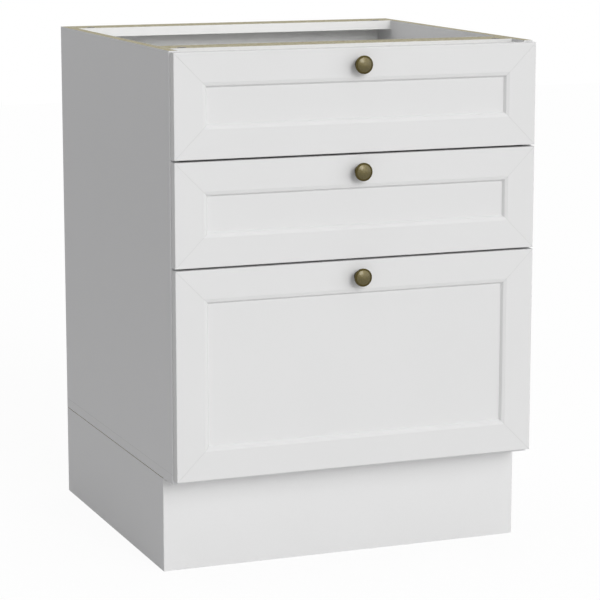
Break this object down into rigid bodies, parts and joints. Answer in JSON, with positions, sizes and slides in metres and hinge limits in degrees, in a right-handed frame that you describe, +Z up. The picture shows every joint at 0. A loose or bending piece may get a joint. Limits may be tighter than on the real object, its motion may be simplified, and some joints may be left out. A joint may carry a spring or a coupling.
{
  "type": "base cabinet with drawers",
  "caption": "Freestanding kitchen base cabinet with framed drawer fronts on ball slides, round knobs and a plinth, open at the top for a worktop.",
  "frame": {"origin": "on the floor, at the middle of the outline in plan, knobs included", "axes": "+X to the right seen from the front, +Y towards the wall, +Z up; the drawers open towards -Y"},
  "size_m": [0.6, 0.6166, 0.81],
  "materials": {
    "white_melamine": "satin white melamine on chipboard, raw edges on top",
    "front_lacquer": "matt white lacquer on fibreboard",
    "white_hardboard": "white lacquered hardboard",
    "softwood": "planed pine",
    "beech": "fluted beech",
    "slide_steel": "bright zinc plate",
    "zinc_fittings": "bright zinc plate",
    "aged_brass": "aged satin brass"
  },
  "bodies": {
    "carcass": {"side_left": "white_melamine", "side_right": "white_melamine", "bottom_panel": "white_melamine", "rail_front": "white_melamine", "rail_rear": "white_melamine", "plinth_front": "white_melamine", "plinth_rear": "white_melamine", "plinth_side_left": "white_melamine", "plinth_side_right": "white_melamine", "back_panel": "white_hardboard", "plinth_blocks": "softwood", "rail_dowels": "beech", "cam_locks": "zinc_fittings", "cam_bolts": "zinc_fittings", "bottom_screws": "zinc_fittings", "back_nails": "zinc_fittings", "plinth_screws": "zinc_fittings", "cabinet_channel_screws": "zinc_fittings", "cabinet_channels": "slide_steel"},
    "drawer_top": {"drawer_top_front_rails": "front_lacquer", "drawer_top_front_stiles": "front_lacquer", "drawer_top_front_panel": "front_lacquer", "drawer_top_knob": "aged_brass", "drawer_top_front_fixings": "zinc_fittings", "drawer_top_box_screws": "zinc_fittings", "drawer_top_channel_screws": "zinc_fittings", "drawer_top_box_front": "white_melamine", "drawer_top_box_back": "white_melamine", "drawer_top_box_sides": "white_melamine", "drawer_top_box_bottom": "white_hardboard", "drawer_top_channels": "slide_steel"},
    "drawer_middle": {"drawer_middle_front_rails": "front_lacquer", "drawer_middle_front_stiles": "front_lacquer", "drawer_middle_front_panel": "front_lacquer", "drawer_middle_knob": "aged_brass", "drawer_middle_front_fixings": "zinc_fittings", "drawer_middle_box_screws": "zinc_fittings", "drawer_middle_channel_screws": "zinc_fittings", "drawer_middle_box_front": "white_melamine", "drawer_middle_box_back": "white_melamine", "drawer_middle_box_sides": "white_melamine", "drawer_middle_box_bottom": "white_hardboard", "drawer_middle_channels": "slide_steel"},
    "drawer_bottom": {"drawer_bottom_front_rails": "front_lacquer", "drawer_bottom_front_stiles": "front_lacquer", "drawer_bottom_front_panel": "front_lacquer", "drawer_bottom_knob": "aged_brass", "drawer_bottom_front_fixings": "zinc_fittings", "drawer_bottom_box_screws": "zinc_fittings", "drawer_bottom_channel_screws": "zinc_fittings", "drawer_bottom_box_front": "white_melamine", "drawer_bottom_box_back": "white_melamine", "drawer_bottom_box_sides": "white_melamine", "drawer_bottom_box_bottom": "white_hardboard", "drawer_bottom_channels": "slide_steel"},
    "slides_top": {"slide_members_top": "slide_steel"},
    "slides_middle": {"slide_members_middle": "slide_steel"},
    "slides_bottom": {"slide_members_bottom": "slide_steel"}
  },
  "joints": [
    {"name": "drawer_top_slide", "type": "slide", "parent": "carcass", "child": "drawer_top", "axis": [0, -1, 0], "range_m": [0, 0.5]},
    {"name": "slides_top_slide", "type": "slide", "parent": "carcass", "child": "slides_top", "axis": [0, -1, 0], "range_m": [0, 0.25]},
    {"name": "drawer_middle_slide", "type": "slide", "parent": "carcass", "child": "drawer_middle", "axis": [0, -1, 0], "range_m": [0, 0.5]},
    {"name": "slides_middle_slide", "type": "slide", "parent": "carcass", "child": "slides_middle", "axis": [0, -1, 0], "range_m": [0, 0.25]},
    {"name": "drawer_bottom_slide", "type": "slide", "parent": "carcass", "child": "drawer_bottom", "axis": [0, -1, 0], "range_m": [0, 0.5]},
    {"name": "slides_bottom_slide", "type": "slide", "parent": "carcass", "child": "slides_bottom", "axis": [0, -1, 0], "range_m": [0, 0.25]}
  ],
  "couplings": [
    {"joint": "slides_top_slide", "follows": "drawer_top_slide", "ratio": 0.5},
    {"joint": "slides_middle_slide", "follows": "drawer_middle_slide", "ratio": 0.5},
    {"joint": "slides_bottom_slide", "follows": "drawer_bottom_slide", "ratio": 0.5}
  ]
}
